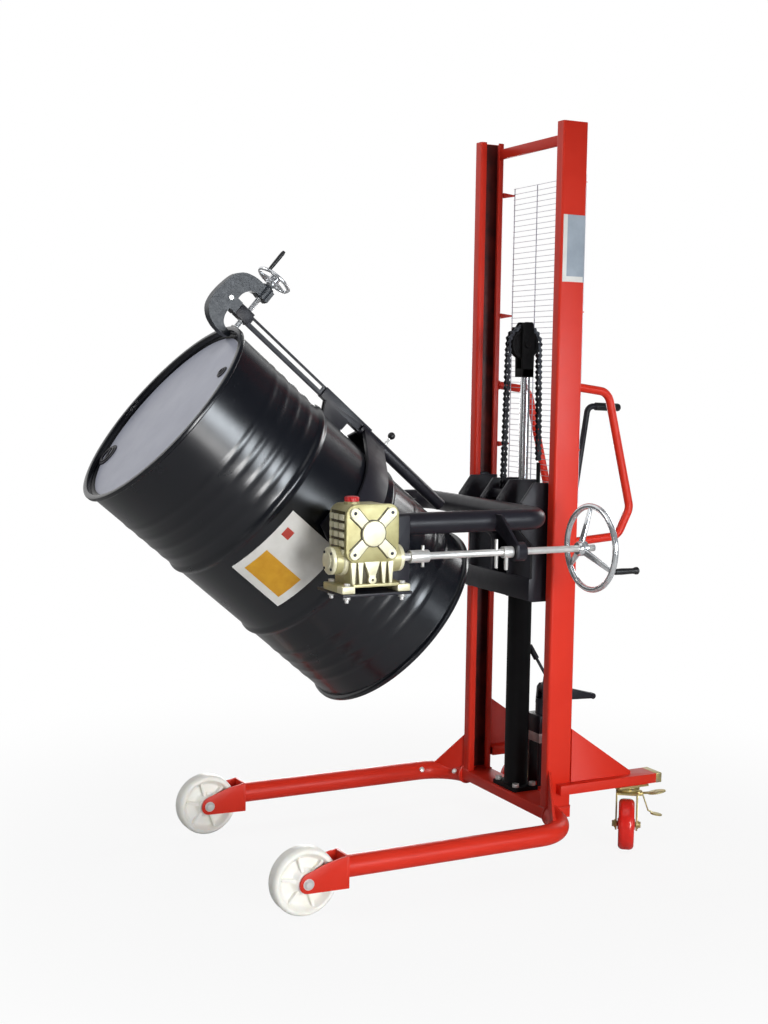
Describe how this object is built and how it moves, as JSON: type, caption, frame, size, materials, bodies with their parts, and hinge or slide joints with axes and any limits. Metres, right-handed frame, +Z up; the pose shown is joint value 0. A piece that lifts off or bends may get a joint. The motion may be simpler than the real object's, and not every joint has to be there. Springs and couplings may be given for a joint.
{
  "type": "manual drum stacker",
  "caption": "Hand-pumped straddle stacker with a chain mast and a worm-geared yoke that clamps, lifts and tips a steel drum",
  "frame": {"origin": "On the floor under the middle of the mast, on the plane midway between the columns", "axes": "+X forward to the drum, +Y to the machine's left where the gearbox is, +Z up"},
  "size_m": [1.633, 0.9657, 2.052],
  "materials": {
    "red_paint": "gloss red powder coat",
    "black_paint": "gloss black powder coat",
    "bright_steel": "bright turned steel",
    "chrome": "polished",
    "gold_case": "pale gold enamel on a casting",
    "guard_wire": "zinc-plated wire",
    "yellow_zinc": "yellow zinc plating",
    "cream_nylon": "moulded nylon",
    "red_polyurethane": "cast polyurethane",
    "dark_steel": "oiled dark steel",
    "black_plastic": "moulded black grip",
    "bronze": "worm wheel bronze",
    "grey_casting": "dark grey casting",
    "drum_enamel": "gloss enamel",
    "lid_enamel": "grey enamel"
  },
  "bodies": {
    "chassis": {"base_frame": "red_paint", "rear_outriggers": "red_paint", "left_leg": "red_paint", "right_leg": "red_paint", "left_mast_channel": "red_paint", "right_mast_channel": "red_paint", "mast_top_bar": "red_paint", "rear_handles": "red_paint", "mesh_guard": "guard_wire", "lift_cylinder": "black_paint", "cylinder_gland": "black_paint", "pump_body": "black_paint", "return_pipe": "bright_steel", "front_axles": "bright_steel", "castor_plates": "yellow_zinc", "frame_bolts": "bright_steel"},
    "left_wheel": {"left_front_wheel": "cream_nylon"},
    "right_wheel": {"right_front_wheel": "cream_nylon"},
    "left_castor": {"left_castor_yoke": "yellow_zinc"},
    "right_castor": {"right_castor_yoke": "yellow_zinc"},
    "left_castor_roll": {"left_castor_wheel": "red_polyurethane"},
    "right_castor_roll": {"right_castor_wheel": "red_polyurethane"},
    "left_brake": {"left_brake_pedal": "yellow_zinc"},
    "right_brake": {"right_brake_pedal": "yellow_zinc"},
    "ram": {"ram_rod": "chrome", "pulley_block": "black_paint", "chain_wrap": "dark_steel", "chain_front": "dark_steel", "chain_rear": "dark_steel"},
    "pulley": {"chain_pulley": "dark_steel"},
    "carriage": {"carriage_frame": "black_paint", "roller_axles": "bright_steel", "yoke_tube": "black_paint", "far_pivot_bearing": "black_paint", "gearbox_bracket": "black_paint", "gearbox_housing": "gold_case", "gearbox_cover": "gold_case", "gearbox_bolts": "bright_steel", "shaft_bearing": "black_paint"},
    "upper_roller_set": {"upper_rollers": "dark_steel"},
    "lower_roller_set": {"lower_rollers": "dark_steel"},
    "drive": {"worm_shaft": "bright_steel", "handwheel_shaft": "bright_steel", "handwheel": "chrome"},
    "drive_grip": {"handwheel_grip": "black_plastic"},
    "holder": {"trunnion_shaft": "bright_steel", "worm_wheel": "bronze", "hoop_band": "black_paint", "post_sleeve": "black_paint", "drum_shell": "drum_enamel", "drum_lid": "lid_enamel", "drum_bungs": "drum_enamel"},
    "height_bar": {"slotted_bar": "black_paint", "clamp_frame": "grey_casting"},
    "pad": {"clamp_pad": "bright_steel"},
    "spindle": {"clamp_screw": "chrome", "clamp_handle": "black_plastic"},
    "locking_pin": {"lock_pin": "black_plastic"},
    "lever": {"pump_lever": "black_paint"},
    "pedal": {"foot_pedal": "black_paint"}
  },
  "joints": [
    {"name": "left_wheel_spin", "type": "hinge", "parent": "chassis", "child": "left_wheel", "pos_m": [0.845, 0.358, 0.088], "axis": [0, 1, 0], "continuous": true},
    {"name": "right_wheel_spin", "type": "hinge", "parent": "chassis", "child": "right_wheel", "pos_m": [0.845, -0.358, 0.088], "axis": [0, 1, 0], "continuous": true},
    {"name": "left_castor_swivel", "type": "hinge", "parent": "chassis", "child": "left_castor", "pos_m": [-0.243, 0.232, 0.165], "axis": [0, 0, 1], "continuous": true},
    {"name": "right_castor_swivel", "type": "hinge", "parent": "chassis", "child": "right_castor", "pos_m": [-0.243, -0.232, 0.165], "axis": [0, 0, 1], "continuous": true},
    {"name": "left_castor_spin", "type": "hinge", "parent": "left_castor", "child": "left_castor_roll", "pos_m": [-0.21036, 0.27627, 0.0725], "axis": [-0.8049, 0.5934, 0], "continuous": true},
    {"name": "right_castor_spin", "type": "hinge", "parent": "right_castor", "child": "right_castor_roll", "pos_m": [-0.19276, -0.25437, 0.0725], "axis": [0.4067, 0.9135, 0], "continuous": true},
    {"name": "left_brake_press", "type": "hinge", "parent": "left_castor", "child": "left_brake", "pos_m": [-0.28172, 0.24688, 0.148], "axis": [0.5934, 0.8049, 0], "range_deg": [-10, 0]},
    {"name": "right_brake_press", "type": "hinge", "parent": "right_castor", "child": "right_brake", "pos_m": [-0.23678, -0.19098, 0.148], "axis": [0.9135, -0.4067, 0], "range_deg": [-10, 0]},
    {"name": "ram_lift", "type": "slide", "parent": "chassis", "child": "ram", "axis": [0, 0, 1], "range_m": [-0.22, 0.36], "deforming": ["chain_rear"]},
    {"name": "carriage_lift", "type": "slide", "parent": "ram", "child": "carriage", "axis": [0, 0, 1], "range_m": [-0.22, 0.36], "deforming": ["chain_front"]},
    {"name": "pulley_turn", "type": "hinge", "parent": "ram", "child": "pulley", "pos_m": [0.003, 0, 1.45], "axis": [0, 1, 0], "range_deg": [-350, 215]},
    {"name": "upper_roller_turn", "type": "hinge", "parent": "carriage", "child": "upper_roller_set", "pos_m": [0, 0, 1.03], "axis": [0, 1, 0], "range_deg": [-715, 1170]},
    {"name": "lower_roller_turn", "type": "hinge", "parent": "carriage", "child": "lower_roller_set", "pos_m": [0, 0, 0.76], "axis": [0, 1, 0], "range_deg": [-1170, 715]},
    {"name": "drum_tilt", "type": "hinge", "parent": "carriage", "child": "holder", "pos_m": [0.73, 0, 0.975], "axis": [0, 1, 0], "range_deg": [-49.57, 130]},
    {"name": "handwheel_turn", "type": "hinge", "parent": "carriage", "child": "drive", "pos_m": [0.06, 0.445, 0.907], "axis": [1, 0, 0], "range_deg": [-1490, 3905]},
    {"name": "grip_spin", "type": "hinge", "parent": "drive", "child": "drive_grip", "pos_m": [0.014, 0.54301, 0.85489], "axis": [1, 0, 0], "continuous": true},
    {"name": "bar_slide", "type": "slide", "parent": "holder", "child": "height_bar", "axis": [0.7612, 0, 0.6485], "range_m": [0, 0.1]},
    {"name": "pad_press", "type": "slide", "parent": "height_bar", "child": "pad", "axis": [-0.6485, 0, 0.7612], "range_m": [0, 0.0221]},
    {"name": "spindle_turn", "type": "hinge", "parent": "pad", "child": "spindle", "pos_m": [0.83064, 0, 1.55076], "axis": [-0.6485, 0, 0.7612], "range_deg": [0, 1980]},
    {"name": "lock_pull", "type": "slide", "parent": "holder", "child": "locking_pin", "axis": [-0.6485, 0, 0.7612], "range_m": [0, 0.012], "stiffness_N_per_m": 400, "springref_m": -0.01},
    {"name": "lever_swing", "type": "hinge", "parent": "chassis", "child": "lever", "pos_m": [-0.1, 0, 0.425], "axis": [0, 1, 0], "range_deg": [-40, 6]},
    {"name": "pedal_press", "type": "hinge", "parent": "chassis", "child": "pedal", "pos_m": [-0.138, 0, 0.38], "axis": [0, 1, 0], "range_deg": [-18, 0], "stiffness_Nm_per_rad": 3, "springref_deg": 22.92}
  ],
  "couplings": [
    {"joint": "carriage_lift", "follows": "ram_lift", "ratio": 1},
    {"joint": "pulley_turn", "follows": "ram_lift", "rad_per_m": -16.393},
    {"joint": "upper_roller_turn", "follows": "ram_lift", "rad_per_m": 56.338},
    {"joint": "lower_roller_turn", "follows": "ram_lift", "rad_per_m": -56.338},
    {"joint": "handwheel_turn", "follows": "drum_tilt", "ratio": 30},
    {"joint": "pad_press", "follows": "spindle_turn", "m_per_rad": 0.00063662}
  ]
}
